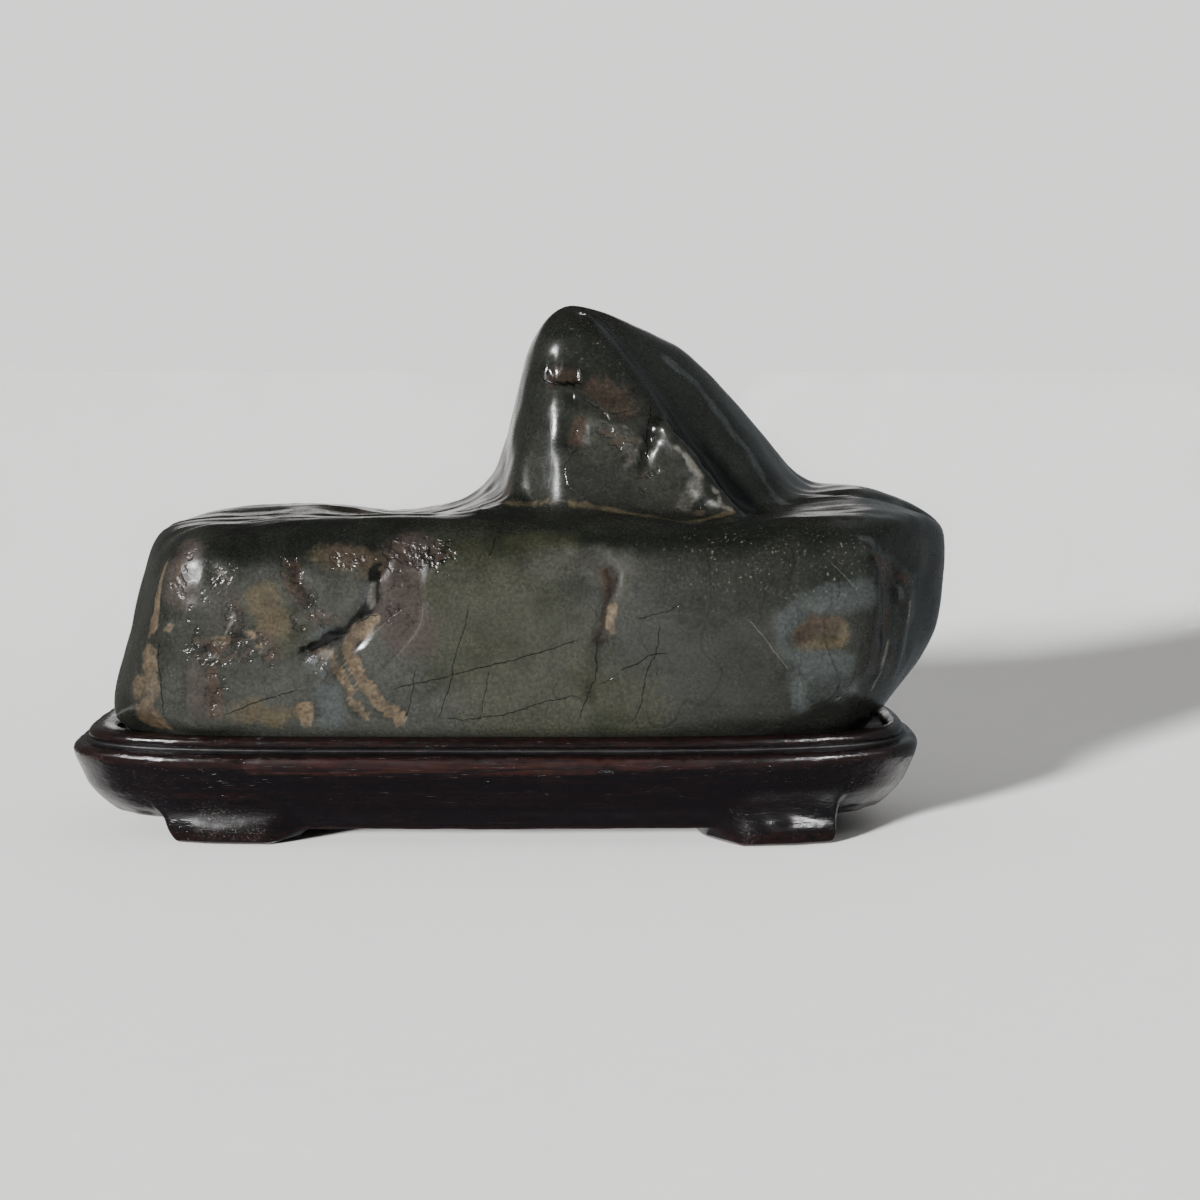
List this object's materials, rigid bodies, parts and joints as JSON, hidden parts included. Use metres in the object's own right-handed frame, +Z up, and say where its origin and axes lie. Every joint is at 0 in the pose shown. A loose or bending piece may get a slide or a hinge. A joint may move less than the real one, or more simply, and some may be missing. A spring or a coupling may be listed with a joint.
{
  "type": "scholar's rock on stand",
  "caption": "Long green-black scholar's rock with a flat plateau and a steep peak, resting in the shallow seat of a low carved dark wood stand with small feet.",
  "frame": {"origin": "on the surface that the stand rests on, under the middle of the whole object's bounding box", "axes": "+Z up, +X to the right along the length as seen from the show side, -Y towards the viewer of the show side"},
  "size_m": [0.2166, 0.092, 0.1289],
  "materials": {
    "dark_stone": "hand-polished green-black stone with a satin shine, tan mineral patches, hairline cracks and dust in the hollows",
    "dark_wood": "near-black patinated hardwood with a waxed shine, worn red-brown along its edges"
  },
  "bodies": {
    "root": {"stone": "dark_stone", "stand": "dark_wood"}
  },
  "joints": []
}
